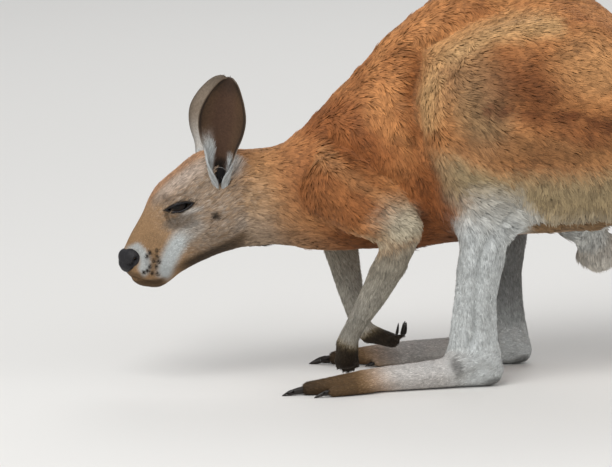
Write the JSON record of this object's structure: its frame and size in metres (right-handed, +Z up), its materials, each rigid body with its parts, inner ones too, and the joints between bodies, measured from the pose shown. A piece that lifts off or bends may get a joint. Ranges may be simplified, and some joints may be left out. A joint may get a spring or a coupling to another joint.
{
  "type": "red kangaroo",
  "caption": "Life-size red kangaroo, still figure, crouched on its long hind feet to graze, head low, ears up, thick tail laid along the ground behind.",
  "frame": {"origin": "middle of the bounding box in plan, on the ground under the animal", "axes": "+X from the head towards the tail, +Y to the right side of the animal, +Z up"},
  "size_m": [1.5554, 0.3478, 0.625],
  "materials": {
    "coat_rufous": "short dense rust-orange fur, matte",
    "coat_tawny": "short tan fur, matte",
    "coat_face": "very short grey-brown fur, matte",
    "coat_pale": "short cream-white fur, matte",
    "paw_dark": "short dark brown fur over skin, matte",
    "ear_skin": "thin furred grey-brown leaf, matte",
    "nose_skin": "bare dark skin, slightly moist",
    "horn": "black horn, satin",
    "eye": "dark brown, wet and glossy"
  },
  "bodies": {
    "root": {"trunk": "coat_rufous", "neck": "coat_rufous", "scrotum": "coat_pale", "tail_root": "coat_tawny", "tail_middle": "coat_tawny", "tail_tip": "coat_tawny", "thigh_left": "coat_rufous", "shank_left": "coat_pale", "claw_toe4_left": "horn", "claw_toe5_left": "horn", "claw_toe2_left": "horn", "claw_toe3_left": "horn", "foot_left": "coat_pale", "thigh_right": "coat_rufous", "shank_right": "coat_pale", "claw_toe4_right": "horn", "claw_toe5_right": "horn", "claw_toe2_right": "horn", "claw_toe3_right": "horn", "foot_right": "coat_pale", "upper_arm_left": "coat_tawny", "forearm_left": "coat_pale", "claw_finger1_left": "horn", "claw_finger2_left": "horn", "claw_finger3_left": "horn", "claw_finger4_left": "horn", "claw_finger5_left": "horn", "hand_left": "paw_dark", "upper_arm_right": "coat_tawny", "forearm_right": "coat_pale", "claw_finger1_right": "horn", "claw_finger2_right": "horn", "claw_finger3_right": "horn", "claw_finger4_right": "horn", "claw_finger5_right": "horn", "hand_right": "paw_dark", "head": "coat_face", "nose": "nose_skin", "eye_left": "eye", "ear_left": "ear_skin", "eye_right": "eye", "ear_right": "ear_skin"}
  },
  "joints": []
}
